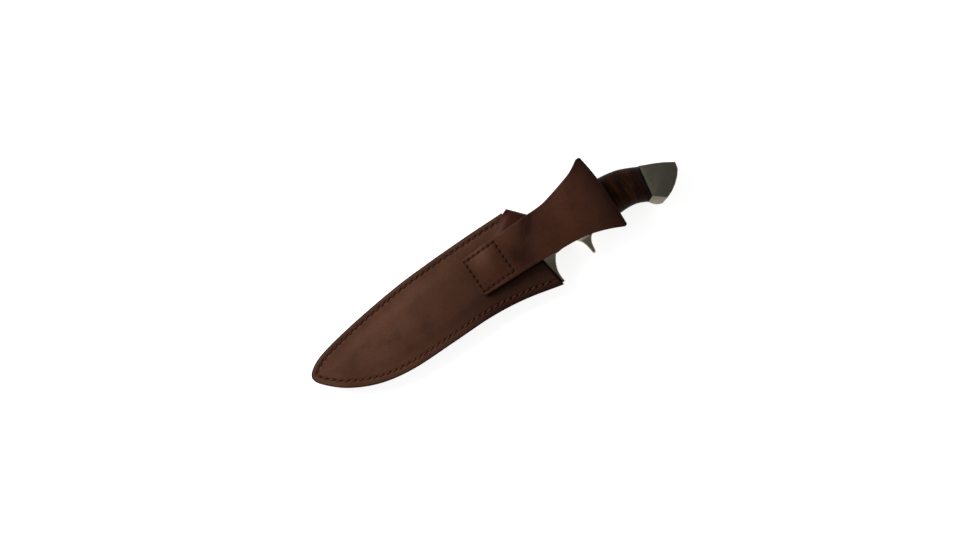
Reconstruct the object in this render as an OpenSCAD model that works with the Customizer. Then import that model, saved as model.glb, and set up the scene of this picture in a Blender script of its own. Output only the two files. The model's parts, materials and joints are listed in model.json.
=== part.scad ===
// Sheathed sub-hilt knife: a full-tang blade with a stacked leather grip in a
// sewn leather belt sheath. The sheath lies on its front, with its belt loop up.
// +X is the way the knife is drawn, +Y is towards the blade's spine, +Z is up.

/* [Placing] */
// Distance from the middle of the whole object to the sheath's mouth
mouth_x = 37.5; // [37:0.5:38]
// Height of the blade's middle plane above the table
mid_z = 11; // [11:0.5:14]

/* [Sheath] */
// Thickness of each sheath panel
panel_t = 3; // [2:0.5:4]
// Thickness of the welt that keeps the panels apart
welt_t = 6; // [5.8:0.1:6.4]
// How far the edge stitching lies inside the edge on the spine side
spine_inset = 4.3; // [3.5:0.1:6]
// How far the edge stitching lies inside the edge on the other side
belly_inset = 6.2; // [4:0.1:6.8]
// Distance from one stitch hole to the next
stitch_pitch = 6; // [4:0.5:8]
// Diameter of the sewing thread
thread_d = 1; // [0.6:0.1:1.2]

/* [Belt loop] */
// Thickness of the belt loop's leather
loop_t = 2.5; // [2:0.1:2.6]
// Clear height inside the loop at its fold
belt_gap = 6; // [5:0.5:8]
// Side of the square of stitches that holds the loop
box_side = 30; // [20:5:30]
// Distance from one of its holes to the next
box_pitch = 5; // [3:1:6]

/* [Keeper strap] */
// Thickness of the keeper's leather
keeper_t = 2.2; // [1.8:0.1:2.2]
// Width of the keeper
keeper_w = 19.5; // [16:0.5:20]
// Direction of the keeper, turned from the draw direction
keeper_angle = 40; // [36:1:44]
// Distance from the keeper's fold to its snap
snap_reach = 24; // [22:1:26]

/* [Blade] */
// Thickness of the blade at its spine
blade_t = 5.4; // [4:0.1:5.4]
// Height of the tang
tang_h = 10; // [8:0.5:11]
// Thickness of the tang
tang_t = 4.6; // [3:0.1:5]

/* [Grip] */
// Number of leather washers ahead of the sub-hilt
fore_count = 4; // [2:1:5]
// Number of leather washers behind the sub-hilt
rear_count = 15; // [8:1:18]
// Half of the grip's thickness
grip_half = 10.5; // [9:0.5:11]
// Half of the pommel's thickness
pommel_half = 11; // [9:0.5:11]

/* [Hidden] */
fine = 48;
gap = 0.1;
// Longer and taller than any one piece, for cutting
ample = 100;
curve_steps = 5;

// Levels measured from the blade's middle plane
panel_in = welt_t / 2;
panel_out = panel_in + panel_t;
// Air between the front panel and the closed keeper
keeper_air = 1;
keeper_low = panel_out + keeper_air + keeper_t;
keeper_top = panel_out + keeper_t;

// Knot i of a curve, carried on straight past both ends
function knot(p, i) =
    let (last = len(p) - 1)
    i < 0 ? 2 * p[0] - p[1] : i > last ? 2 * p[last] - p[last - 1] : p[i];

// Point t of the way from knot i to the next, on a smooth curve through all knots
function spline_point(p, i, t) =
    let (a = knot(p, i - 1), b = knot(p, i), c = knot(p, i + 1), d = knot(p, i + 2))
    0.5 * (2 * b + (c - a) * t + (2 * a - 5 * b + 4 * c - d) * t * t
           + (3 * b - a - 3 * c + d) * t * t * t);

// The curve at s, which counts knots
function curve_at(p, s) =
    let (i = min(floor(s), len(p) - 2))
    spline_point(p, i, s - i);

function smooth(p, steps = curve_steps) =
    [for (k = [0 : (len(p) - 1) * steps]) curve_at(p, k / steps)];

function mirrored(p) = [for (k = [len(p) - 1 : -1 : 0]) [p[k].x, -p[k].y]];

// Unit vector along a polyline at point i
function heading(p, i) =
    let (v = knot(p, i + 1) - knot(p, i - 1)) v / norm(v);

// The polyline moved to its left by d
function shifted(p, d) =
    [for (i = [0 : len(p) - 1]) p[i] + d * [-heading(p, i).y, heading(p, i).x]];

// A strip of half-thickness d about a polyline
function ribbon(p, d) =
    let (b = shifted(p, -d))
    concat(shifted(p, d), [for (k = [len(b) - 1 : -1 : 0]) b[k]]);

// Length of the polyline up to each point
function run_lengths(p) =
    [for (i = 0, s = 0; i < len(p); s = s + norm(knot(p, i + 1) - p[i]), i = i + 1) s];

// ---- sheath ----

// The sheath's edge from the mouth's spine side, round the tip, to the mouth's edge side
sheath_knots = [
    [-4.5, 39.5], [-40, 40.4], [-80, 40.5], [-115, 39.4], [-160, 35],
    [-195, 29.3], [-210, 23.5], [-216, 16.5], [-212, 7.5], [-195, -8],
    [-170, -20.3], [-140, -26.2], [-100, -27.3], [-62, -28], [-30, -32], [4.5, -40.5]
];
cavity_knots = [
    [10, 31.3], [-40, 32.5], [-80, 32.5], [-115, 31.5], [-158, 27.2], [-190, 22.3],
    [-203, 18.5], [-206, 14.5], [-202, 8.5], [-188, -1.5], [-166, -12.8],
    [-138, -18.6], [-100, -19.3], [-62, -20], [-30, -24], [10, -33.5]
];
sheath_edge = smooth(sheath_knots);
mouth_slope = (sheath_knots[15].x - sheath_knots[0].x) / (sheath_knots[15].y - sheath_knots[0].y);

// ---- keeper, in plan ----

// The keeper's fold runs from this corner; the strap comes to it along keeper_angle
keeper_corner = [1, 40.2];
keeper_dir = [cos(keeper_angle), sin(keeper_angle)];
keeper_mid = keeper_corner + keeper_w / 2 * [keeper_dir.y, -keeper_dir.x];
keeper_root_x = -31.5;
// How much wider than the strap the root is cut before it is trimmed along keeper_edge
keeper_flare = 8;
// The root's spine side, from the fold's corner down to where it is sewn under the loop
keeper_edge = smooth([keeper_corner, [-5.4, 37.6], [-14.5, 32.6], [-24, 26.6], [keeper_root_x, 21.5]]);
snap_at = keeper_mid - snap_reach * keeper_dir;

// ---- belt loop ----

loop_end_x = -57.5;
loop_end_high = 26.4;
loop_end_low = -10.2;
loop_plan_upper = smooth([[26, 26], [38.6, 28.3], [51, 31.4], [61.4, 34.4], [69, 37.6], [75, 40.4]], 3);
loop_reach_x = 78.7;
loop_plan_fold = smooth([[76.4, 39.2], [78.3, 22], [78.7, 5], [78.2, -12], [77.2, -28.4]], 3);
loop_plan_lower = smooth([[76, -29.6], [66, -25.2], [50, -19.3], [34, -16], [14, -14.2], [-2, -12.8]], 3);

// Levels of the loop's lower leg where it is sewn down, over the keeper and over the grip
seat_z = panel_out + loop_t / 2;
keeper_slack = 0.35;
over_keeper_z = keeper_top + keeper_slack + loop_t / 2;
loop_under_z = 11.5;
over_grip_z = loop_under_z + loop_t / 2;
fold_r = (belt_gap + loop_t) / 2;
fold_x = loop_reach_x - fold_r - loop_t / 2;
leg_step = loop_t + 2 * gap;
// The loop climbs from the panel on to the keeper between these two places
ramp_from = -46;
ramp_to = -33;

loop_path = concat(
    smooth([[loop_end_x, seat_z], [ramp_from, seat_z], [ramp_to, over_keeper_z], [-20, over_keeper_z],
            [-4, over_grip_z], [30, over_grip_z], [fold_x - 2, over_grip_z]], 4),
    [for (a = [-90 : 15 : 90]) [fold_x + fold_r * cos(a), over_grip_z + fold_r * (1 + sin(a))]],
    smooth([[fold_x - 4, over_grip_z + 2 * fold_r], [45, over_grip_z + 2 * fold_r - 0.2], [15, over_grip_z + 5.2],
            [-6, over_grip_z + 2.9], [-20, over_keeper_z + leg_step], [ramp_to, over_keeper_z + leg_step],
            [ramp_from, seat_z + leg_step], [loop_end_x, seat_z + leg_step]], 4)
);

// The square of stitches: its centre, and the top of the loop under it
box_mid = [-38.8, 8];
box_per_side = round(box_side / box_pitch);
box_top_left = seat_z + leg_step + loop_t / 2;
box_top_right = over_keeper_z + leg_step + loop_t / 2;

// ---- knife, in plan ----

blade_spine = [[0, 16], [-60, 19], [-110, 22.2], [-150, 23.2], [-180, 20.6], [-200, 16.4]];
blade_edge = [[0, -14.5], [-60, -15.8], [-110, -18], [-150, -14], [-180, -0.5], [-200, 16]];
// Half-thickness of the blade from guard to point
blade_half = [[0, blade_t / 2], [3, blade_t / 2], [4.2, blade_t / 2.6], [5, blade_t / 11]];
// Half of the blade's section: height from edge to spine, thickness
blade_section = [[-1, 0.06], [-0.1, 1], [0.86, 1], [1, 0.78]];
blade_steps = 40;

tang_start = [0, 3];
tang_angle = -6.2;
tang_end = 110;
// How far the tang's bar runs into the blade
tang_root = 8;
stud_r = 3;
stud_end = 137;
nut_r = 5.4;
nut_len = 7;
// What stands past the stud's end, and the slot across it
nut_head = 1;
slot_w = 1.6;

// The guard and the sub-hilt: plan outline, and half of the outline seen along the grip
guard_clear = 0.25;
guard_top = 23;
guard_tip = -38.7;
guard_plan = concat(
    [[guard_clear + mouth_slope * guard_top, guard_top], [5, guard_top]],
    smooth([[6.4, 22.4], [8.6, 19.2], [10.4, 15.8]], 3),
    smooth([[13.9, -15.5], [10.1, -20.9], [7.4, -27.5], [6.8, -34], [7.2, -38.2]], 4),
    [[6.4, guard_tip], [guard_clear + mouth_slope * guard_tip, guard_tip]]
);
guard_face = smooth([
    [23.1, 4], [19, 5.2], [14, 5.6], [12, 5.8], [10.5, 7], [6, 9.6], [0, 10.5],
    [-8, 9.8], [-15, 7.4], [-20, 6], [-30, 4.4], [-38.8, 3.4]
], 3);
subhilt_plan = concat(
    [[34.1, 18.8], [43.1, 18.8], [46.4, -18.3]],
    smooth([[49.4, -18.9], [46.4, -21.6], [44.4, -26], [43.2, -32.4]], 4),
    smooth([[42.6, -33.4], [41.6, -33.9], [40.5, -33.2]], 2),
    smooth([[39.8, -26.5], [38.4, -21], [34.7, -16]], 4),
    [[36.3, -15.7]]
);
subhilt_face = smooth([
    [18.8, 0], [18.3, 3.6], [15.4, 7], [8, 10.2], [0, 11], [-8, 10.3],
    [-15, 7.6], [-19, 5.2], [-26, 4], [-33, 3.2], [-34, 0]
], 3);

// The grip's spine and belly, knot by knot: a washer's face runs from one to the other
grip_spine = [[10.4, 15.8], [22, 16.8], [34, 17.9], [43.2, 18.5], [62, 18.4],
              [79, 17], [90, 15.2], [100, 12.2], [113.8, 5.4]];
grip_belly = [[13.9, -15.5], [25, -14.9], [36.2, -15.6], [46.5, -18.3], [63.5, -18.9],
              [79, -18.5], [88.5, -18.7], [97, -20.7], [107.9, -26.5]];
subhilt_front = 2;
subhilt_rear = 3;
section_points = 36;
section_power = 2.3;

// Middle of each grip knot along X, to turn a distance into a place on both curves
grip_mids = [for (i = [0 : len(grip_spine) - 1]) [(grip_spine[i].x + grip_belly[i].x) / 2, i]];
fore_start = grip_mids[0][0];
fore_end = grip_mids[subhilt_front][0];
rear_start = grip_mids[subhilt_rear][0];
rear_end = grip_mids[len(grip_mids) - 1][0];
spacer_t = 1.5;
end_spacer_t = 2.4;
layer_gap = 0.02;
fore_pitch = (fore_end - fore_start - 2 * spacer_t) / fore_count;
// Layers past this distance are trimmed where the pommel's hook starts
hook_from = 100;
rear_pitch = (rear_end - rear_start - spacer_t - end_spacer_t) / rear_count;

pommel_join = [[113.9, 5.4], [108.8, -21.9]];
pommel_hook = [[103.7, -24.3], [105.8, -27.4], [108.6, -30.2], [112.5, -32]];
pommel_butt = [[141, -9.4], [139.4, -15.3], [135.7, -20], [130, -24.8], [124.4, -28.2], [118.6, -30.4]];
pommel_plan = concat(
    [pommel_join[1]], smooth(pommel_hook, 3),
    [for (k = [len(pommel_butt) - 1 : -1 : 0]) pommel_butt[k]],
    smooth([[132.8, -4], [124.6, 0.4], pommel_join[0]], 3)
);
// The broad bevel at the hook falls away from this line on the flat side
hook_bevel = [[108.4, -21.6], [118.1, -30]];
hook_slope = 47;

function washer_name(i) = str("washer_", i < 10 ? "0" : "", i);
function fore_name(i) = str("fore_washer_", i);

// From the sheath's mouth and the blade's middle plane to the object's own frame
module placed() {
    translate([mouth_x, 0, mid_z]) children();
}

module slab(low, high) {
    translate([0, 0, low]) linear_extrude(high - low) children();
}

module at_snap() {
    translate([snap_at.x, snap_at.y, 0]) children();
}

// ---- sheath modules ----

module sheath_outline() {
    polygon(sheath_edge);
}

module back_panel() {
    color("#50362B") placed() slab(panel_in, panel_out) sheath_outline();
}

stud_post_r = 1.8;
stud_flange_r = 5;
stud_flange_t = 0.5;

module front_panel() {
    color("#50362B") placed() difference() {
        slab(-panel_out, -panel_in) sheath_outline();
        at_snap() translate([0, 0, -panel_out - 1]) cylinder(r = stud_post_r, h = panel_t + 2, $fn = fine);
        at_snap() translate([0, 0, -panel_in - stud_flange_t]) cylinder(r = stud_flange_r, h = 1, $fn = fine);
    }
}

module welt() {
    color("#3B241B") placed() slab(-panel_in, panel_in) difference() {
        sheath_outline();
        polygon(smooth(cavity_knots));
    }
}

// One stitch: a slanted run of thread on each face
stitch_slant = 18;
stitch_share = 0.76;

module stitch_run(z) {
    translate([0, 0, z])
        rotate([0, 0, stitch_slant])
            cube([stitch_pitch * stitch_share, thread_d, thread_d * 0.7], center = true);
}

// The inset eases from one side's to the other's round the tip, knots 6 to 9 of the edge
function stitch_inset(i) = lookup(i / curve_steps, [[6, spine_inset], [9, belly_inset]]);

module edge_stitching() {
    line = [for (i = [0 : len(sheath_edge) - 1])
        sheath_edge[i] + stitch_inset(i) * [-heading(sheath_edge, i).y, heading(sheath_edge, i).x]];
    run = run_lengths(line);
    first = 4;
    count = floor((run[len(run) - 1] - 2 * first) / stitch_pitch);
    color("#5A3020") placed() for (k = [0 : count]) {
        s = first + k * stitch_pitch;
        i = max([for (j = [0 : len(run) - 2]) run[j] <= s ? j : 0]);
        way = (line[i + 1] - line[i]) / norm(line[i + 1] - line[i]);
        here = line[i] + (s - run[i]) * way;
        translate([here.x, here.y, 0]) rotate([0, 0, atan2(way.y, way.x)]) {
            translate([0, 0, -panel_out]) cylinder(d = thread_d, h = 2 * panel_out, $fn = 16);
            if (k < count) translate([stitch_pitch / 2, 0, 0]) {
                stitch_run(panel_out);
                stitch_run(-panel_out);
            }
        }
    }
}

// ---- belt loop modules ----

loop_corner_r = 5;

module loop_plan() {
    difference() {
        polygon(concat(
            [[loop_end_x, loop_end_high]], loop_plan_upper, loop_plan_fold, loop_plan_lower,
            [[loop_end_x, loop_end_low]]
        ));
        for (corner = [[loop_end_high, -1], [loop_end_low, 1]])
            translate([loop_end_x, corner[0]]) scale([1, corner[1]])
                difference() {
                    translate([-1, -1]) square(loop_corner_r + 1);
                    translate([loop_corner_r, loop_corner_r]) circle(loop_corner_r, $fn = fine);
                }
    }
}

module belt_loop() {
    color("#42261C") placed() intersection() {
        slab(panel_out, ample) loop_plan();
        translate([0, ample / 2, 0]) rotate([90, 0, 0]) linear_extrude(ample)
            polygon(ribbon(loop_path, loop_t / 2));
    }
}

function box_top(x) = lookup(x, [[ramp_from, box_top_left], [ramp_to, box_top_right]]);

module box_stitching() {
    color("#20120D") placed() for (side = [0 : 3], k = [0 : box_per_side - 1]) {
        across = box_side / 2;
        spot = [k * box_pitch - across, -across];
        x = box_mid.x + cos(90 * side) * spot.x - sin(90 * side) * spot.y;
        y = box_mid.y + sin(90 * side) * spot.x + cos(90 * side) * spot.y;
        next_x = x + cos(90 * side) * box_pitch / 2;
        next_y = y + sin(90 * side) * box_pitch / 2;
        translate([x, y, panel_in]) cylinder(d = thread_d, h = box_top(x) - panel_in, $fn = 16);
        translate([next_x, next_y, box_top(next_x)]) rotate([0, 0, 90 * side])
            cube([box_pitch * stitch_share, thread_d * 0.9, thread_d * 0.7], center = true);
    }
}

// ---- keeper modules ----

// Draws in the keeper's own frame: X along the strap to its fold, Y across it
module along_keeper() {
    translate([keeper_mid.x, keeper_mid.y, 0]) rotate([0, 0, keeper_angle]) children();
}

keeper_turn_r = 3;

module keeper_root() {
    web_low = -panel_out - keeper_air + gap;
    color("#38150F") placed() intersection() {
        along_keeper() translate([0, keeper_flare / 2, 0]) rotate([90, 0, 0])
            linear_extrude(keeper_w + keeper_flare, center = true)
            polygon(concat(
                [[-ample, panel_out], [-keeper_t, panel_out], [-keeper_t, web_low], [0, web_low]],
                [for (a = [0 : 15 : 90]) [keeper_turn_r * (cos(a) - 1), keeper_top + keeper_turn_r * (sin(a) - 1)]],
                [[-ample, keeper_top]]
            ));
        slab(-ample, ample)
            polygon(concat(keeper_edge, [[keeper_root_x, -ample], [ample, -ample], [ample, keeper_corner.y]]));
    }
}

socket_r = 4.2;
cap_r = 6.5;
keeper_leg = 32;

module keeper_strap() {
    color("#38150F") placed() difference() {
        along_keeper() slab(-keeper_low, -keeper_low + keeper_t) {
            translate([-keeper_leg + keeper_w / 2, -keeper_w / 2])
                square([keeper_leg - keeper_w / 2 - 3 * gap, keeper_w]);
            translate([-keeper_leg + keeper_w / 2, 0]) circle(keeper_w / 2, $fn = fine);
        }
        at_snap() translate([0, 0, -keeper_low - 1]) cylinder(r = socket_r, h = keeper_t + 2, $fn = fine);
    }
}

stud_head_r = 2.5;
stud_neck_r = 2.1;
stud_len = 2.4;

module snap_stud() {
    color("#8C8A80") placed() at_snap() rotate_extrude($fn = fine) polygon([
        [0, -panel_in], [stud_flange_r, -panel_in], [stud_flange_r, -panel_in - stud_flange_t],
        [stud_post_r, -panel_in - stud_flange_t], [stud_post_r, -panel_out], [stud_flange_r, -panel_out],
        [stud_flange_r, -panel_out - stud_flange_t], [stud_neck_r, -panel_out - stud_flange_t],
        [stud_head_r, -panel_out - stud_len / 2], [stud_head_r, -panel_out - stud_len * 3 / 4],
        [stud_neck_r, -panel_out - stud_len], [0, -panel_out - stud_len]
    ]);
}

socket_bore_r = 2.8;
socket_flange_r = 5.5;
socket_flange_t = 0.35;

module snap_socket() {
    flange_low = keeper_t - keeper_low;
    flange_top = flange_low + socket_flange_t;
    color("#8C8A80") placed() at_snap() rotate_extrude($fn = fine) polygon([
        [socket_bore_r, -keeper_low], [socket_r, -keeper_low], [socket_r, flange_low],
        [socket_flange_r, flange_low], [socket_flange_r, flange_top], [socket_bore_r, flange_top]
    ]);
}

module snap_cap() {
    cap_t = mid_z - keeper_low;
    color("#8C8A80") placed() at_snap() rotate_extrude($fn = fine) polygon([
        [0, -keeper_low], [cap_r, -keeper_low], [cap_r, -keeper_low - cap_t * 0.35],
        [cap_r * 0.9, -keeper_low - cap_t * 0.75], [cap_r * 0.7, -keeper_low - cap_t], [0, -keeper_low - cap_t]
    ]);
}

// ---- knife modules ----

// A closed solid through a list of rings, each with the same number of points
module skin(rings) {
    n = len(rings[0]);
    last = len(rings) - 1;
    polyhedron(
        points = [for (ring = rings) each ring],
        faces = concat(
            [[for (j = [n - 1 : -1 : 0]) j]],
            [for (i = [0 : last - 1], j = [0 : n - 1], half = [0, 1])
                let (a = i * n + j, b = i * n + (j + 1) % n)
                half == 0 ? [a, b, b + n] : [a, b + n, a + n]],
            [[for (j = [0 : n - 1]) last * n + j]]
        )
    );
}

// A section standing on the plan line from low to high
function section(low, high, half, outline) =
    [for (q = outline)
        let (c = (low + high) / 2 + q[0] * (high - low) / 2)
        [c.x, c.y, q[1] * half]];

function blade_ring(s) =
    let (skew = mouth_slope * max(0, 1 - s), low = curve_at(blade_edge, s), high = curve_at(blade_spine, s))
    section([low.x + skew * low.y, low.y], [high.x + skew * high.y, high.y],
            lookup(s, blade_half), concat(blade_section, mirrored(blade_section)));

// The tang, a bar and then a round stud, made larger all round by grow
module tang(grow = 0) {
    translate([tang_start.x, tang_start.y, 0]) rotate([0, 0, tang_angle]) {
        translate([-tang_root, -tang_h / 2 - grow, -tang_t / 2 - grow])
            cube([tang_end + tang_root + grow, tang_h + 2 * grow, tang_t + 2 * grow]);
        rotate([0, 90, 0]) cylinder(r = stud_r + grow, h = stud_end, $fn = fine);
    }
}

module blade() {
    color("#8E9094") placed() union() {
        skin([for (k = [blade_steps : -1 : 0]) blade_ring(k * (len(blade_spine) - 1) / blade_steps)]);
        tang();
    }
}

// A steel fitting: its plan outline cut by its outline seen along the grip
module fitting(plan, face) {
    difference() {
        intersection() {
            slab(-ample, ample) polygon(plan);
            translate([-ample, 0, 0]) rotate([90, 0, 90]) linear_extrude(2 * ample)
                polygon(concat(face, mirrored(face)));
        }
        tang(gap);
    }
}

module guard() {
    color("#555045") placed() fitting(guard_plan, guard_face);
}

module sub_hilt() {
    color("#555045") placed() fitting(subhilt_plan, subhilt_face);
}

grip_section = [for (k = [0 : section_points - 1])
    let (a = 360 * k / section_points, c = cos(a), s = sin(a))
    [sign(c) * pow(abs(c), 2 / section_power), sign(s) * pow(abs(s), 2 / section_power)]];

function grip_ring(x) =
    let (s = lookup(x, grip_mids))
    section(curve_at(grip_belly, s), curve_at(grip_spine, s), grip_half, grip_section);

// One layer of the grip between two distances along it, a hair short of the next
module layer(from, to) {
    difference() {
        skin([grip_ring(from), grip_ring(to - layer_gap)]);
        tang(gap);
        if (to > hook_from)
            slab(-ample, ample)
                polygon([pommel_join[1], pommel_hook[0], [hook_from, -ample], [2 * ample, -ample],
                         [2 * ample, pommel_join[1].y]]);
    }
}

module spacer(from, thickness) {
    color("#15110F") placed() layer(from, from + thickness);
}

washer_colors = ["#2E150C", "#4A2412", "#381A10", "#26110C", "#42200F"];

module leather_washer(from, pitch, i) {
    color(washer_colors[i % len(washer_colors)]) placed() layer(from, from + pitch);
}

module fore_washer(i) {
    leather_washer(fore_start + spacer_t + (i - 1) * fore_pitch, fore_pitch, i);
}

module washer(i) {
    leather_washer(rear_start + spacer_t + (i - 1) * rear_pitch, rear_pitch, i);
}

// What the broad bevel takes off the hook's upper side
module hook_cut() {
    along = hook_bevel[1] - hook_bevel[0];
    translate([hook_bevel[0].x, hook_bevel[0].y, pommel_half])
        rotate([0, 0, atan2(along.y, along.x)]) rotate([hook_slope, 0, 0])
            translate([-ample / 2, -ample, 0]) cube(ample);
}

module pommel() {
    color("#6A6963") placed() difference() {
        slab(-pommel_half, pommel_half) polygon(pommel_plan);
        hook_cut();
        mirror([0, 0, 1]) hook_cut();
        tang(gap);
        translate([tang_start.x, tang_start.y, 0]) rotate([0, 0, tang_angle]) rotate([0, 90, 0])
            translate([0, 0, stud_end - nut_len]) cylinder(r = nut_r + gap, h = ample, $fn = fine);
    }
}

module tang_nut() {
    color("#77756E") placed() translate([tang_start.x, tang_start.y, 0])
        rotate([0, 0, tang_angle]) rotate([0, 90, 0]) difference() {
            translate([0, 0, stud_end - nut_len + gap]) cylinder(r = nut_r, h = nut_len + nut_head, $fn = fine);
            cylinder(r = stud_r + gap, h = stud_end + gap, $fn = fine);
            translate([-slot_w / 2, -nut_r - 1, stud_end + 2 * gap]) cube([slot_w, 2 * nut_r + 2, nut_head]);
        }
}

back_panel();
front_panel();
welt();
edge_stitching();
belt_loop();
box_stitching();
keeper_root();
snap_stud();
keeper_strap();
snap_socket();
snap_cap();
blade();
guard();
spacer(fore_start, spacer_t);  // guard_spacer
for (i = [1 : fore_count]) fore_washer(i);
spacer(fore_end - spacer_t, spacer_t);  // subhilt_front_spacer
sub_hilt();
spacer(rear_start, spacer_t);  // subhilt_rear_spacer
for (i = [1 : rear_count]) washer(i);
spacer(rear_end - end_spacer_t, end_spacer_t);  // pommel_spacer
pommel();
tang_nut();
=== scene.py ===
import json
import math

import bmesh
import bpy
import numpy as np
from mathutils import Matrix, Vector, noise


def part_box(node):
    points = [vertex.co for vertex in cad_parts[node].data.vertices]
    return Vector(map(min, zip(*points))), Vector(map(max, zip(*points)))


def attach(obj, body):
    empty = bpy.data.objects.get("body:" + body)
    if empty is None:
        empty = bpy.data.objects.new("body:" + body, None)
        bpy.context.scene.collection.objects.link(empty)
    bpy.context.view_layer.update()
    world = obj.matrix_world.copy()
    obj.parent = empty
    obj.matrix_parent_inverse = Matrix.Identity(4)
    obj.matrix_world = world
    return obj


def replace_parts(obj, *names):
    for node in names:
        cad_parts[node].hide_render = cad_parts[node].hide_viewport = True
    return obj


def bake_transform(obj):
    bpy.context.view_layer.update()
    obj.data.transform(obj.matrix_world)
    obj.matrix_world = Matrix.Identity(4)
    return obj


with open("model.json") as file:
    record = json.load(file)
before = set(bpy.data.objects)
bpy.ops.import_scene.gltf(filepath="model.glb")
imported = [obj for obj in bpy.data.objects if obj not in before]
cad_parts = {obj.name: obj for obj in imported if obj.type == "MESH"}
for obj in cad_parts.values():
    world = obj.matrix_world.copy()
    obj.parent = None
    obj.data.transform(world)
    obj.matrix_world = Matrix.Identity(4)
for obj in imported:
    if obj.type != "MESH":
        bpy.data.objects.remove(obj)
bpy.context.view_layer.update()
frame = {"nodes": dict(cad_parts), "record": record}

# Plan sizes are in millimetres from the middle of the sheath's mouth, on the blade's middle plane,
# with X along the draw, Y towards the spine and Z up. row() turns them into the frame's metres.
MM = 0.001
MID_Z = (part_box("welt")[0][2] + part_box("welt")[1][2]) / 2 / MM
PANEL_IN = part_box("back_panel")[0][2] / MM - MID_Z
PANEL_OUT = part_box("back_panel")[1][2] / MM - MID_Z
TABLE_Z = -MID_Z

# The sheath's edge and its cavity, from the spine side of the mouth round the tip to the belly side
SHEATH_KNOTS = [
    (-4.5, 39.5), (-40, 40.4), (-80, 40.5), (-115, 39.4), (-160, 35), (-195, 29.3), (-210, 23.5),
    (-216, 16.5), (-212, 7.5), (-195, -8), (-170, -20.3), (-140, -26.2), (-100, -27.3), (-62, -28),
    (-30, -32), (4.5, -40.5),
]
CAVITY_KNOTS = [
    (-3.6, 31.5), (-40, 32.5), (-80, 32.5), (-115, 31.5), (-158, 27.2), (-190, 22.3), (-203, 18.5),
    (-206, 14.5), (-202, 8.5), (-188, -1.5), (-166, -12.8), (-138, -18.6), (-100, -19.3), (-62, -20),
    (-30, -24), (3.7, -32.5),
]
EDGE_STEPS = 60
TIP_KNOT = 7
# Panels and welt reach this much past the mouth, to where the guard begins
GUARD_CLEAR = 0.25

SPINE_INSET = 4.3
BELLY_INSET = 6.2
STITCH_PITCH = 6.0
FIRST_STITCH = 4.0
THREAD_R = 0.5

LOOP_T = 2.5
LOOP_END_X = -57.5
LOOP_REACH_X = 78.7
LOOP_UPPER = [
    (-57.5, 26.4), (-20, 26.3), (10, 26), (26, 26), (38.6, 28.3), (51, 31.4), (61.4, 34.4), (69, 37.6),
    (75, 40.4),
]
LOOP_LOWER = [
    (-57.5, -10.2), (-30, -11.4), (-2, -12.8), (14, -14.2), (34, -16), (50, -19.3), (66, -25.2),
    (76, -29.6),
]
# The loop's fold as (y, x)
FOLD_LINE = [(-29.6, 76), (-28.4, 77.2), (-12, 78.2), (5, 78.7), (22, 78.3), (39.2, 76.4), (40.4, 75)]
FOLD_R = 4.25
BOX_MID = (-38.8, 8.0)
BOX_SIDE = 30.0
BOX_PITCH = 5.0
BOX_COUNT = round(BOX_SIDE / BOX_PITCH)
# The loop's mesh: rings along it, half the points across a face, and the rings where its top leg begins
LOOP_RINGS = 520
LOOP_HALF = 36
LOOP_TOP = (250, 275)

KEEPER_T = 2.2
KEEPER_W = 19.5
KEEPER_ANGLE = math.radians(40)
KEEPER_CORNER = (1.0, 40.2)
# How far the root and the leg reach back from the fold
KEEPER_ROOT = 42.0
KEEPER_LEG = 32.0
KEEPER_RINGS = 230
KEEPER_HALF = 22
SNAP_REACH = 24.0
KEEPER_EDGE = [(1, 40.2), (-5.4, 37.6), (-14.5, 32.6), (-24, 26.6), (-31.5, 21.5)]
CAP_R = 6.5

BLADE_SPINE = [(0, 16), (-60, 19), (-110, 22.2), (-150, 23.2), (-180, 20.6), (-200, 16.4)]
BLADE_EDGE = [(0, -14.5), (-60, -15.8), (-110, -18), (-150, -14), (-180, -0.5), (-200, 16)]
BLADE_HALF = 2.7

GRIP_SPINE = [
    (10.4, 15.8), (22, 16.8), (34, 17.9), (43.2, 18.5), (62, 18.4), (79, 17), (90, 15.2), (100, 12.2),
    (113.8, 5.4),
]
GRIP_BELLY = [
    (13.9, -15.5), (25, -14.9), (36.2, -15.6), (46.5, -18.3), (63.5, -18.9), (79, -18.5), (88.5, -18.7),
    (97, -20.7), (107.9, -26.5),
]
GRIP_MIDS = [(a[0] + b[0]) / 2 for a, b in zip(GRIP_SPINE, GRIP_BELLY)]
GRIP_HALF = 10.5
SECTION_POWER = 2.3
SPACER_T = 1.5
END_SPACER_T = 2.4
FORE_COUNT = 4
REAR_COUNT = 15
REAR_TONES = [0, 1, 0, 3, 2, 1, 3, 0, 0, 2, 0, 2, 3, 0, 1]

RNG = np.random.default_rng(7)


# ---- numbers and curves ----

def curve_at(knots, s):
    """A smooth curve through the knots, at each s, which counts knots."""
    k = np.asarray(knots, float)
    k = np.vstack([2 * k[0] - k[1], k, 2 * k[-1] - k[-2]])
    s = np.atleast_1d(np.asarray(s, float))
    i = np.clip(np.floor(s).astype(int), 0, len(knots) - 2)
    t = (s - i)[:, None]
    a, b, c, d = k[i], k[i + 1], k[i + 2], k[i + 3]
    linear = (c - a) * t
    square = (2 * a - 5 * b + 4 * c - d) * t ** 2
    cube = (3 * b - a - 3 * c + d) * t ** 3
    return 0.5 * (2 * b + linear + square + cube)


def smooth(knots, steps=24):
    return curve_at(knots, np.linspace(0, len(knots) - 1, (len(knots) - 1) * steps + 1))


EDGE = smooth(SHEATH_KNOTS, EDGE_STEPS)
MOUTH = EDGE[[0, -1]]
MOUTH_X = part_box("welt")[0][0] / MM - EDGE[:, 0].min()


def row(p):
    """Points in plan millimetres, as the frame's metres."""
    p = np.asarray(p, float)
    return (p + np.array([MOUTH_X, 0, MID_Z])) * MM


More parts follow.
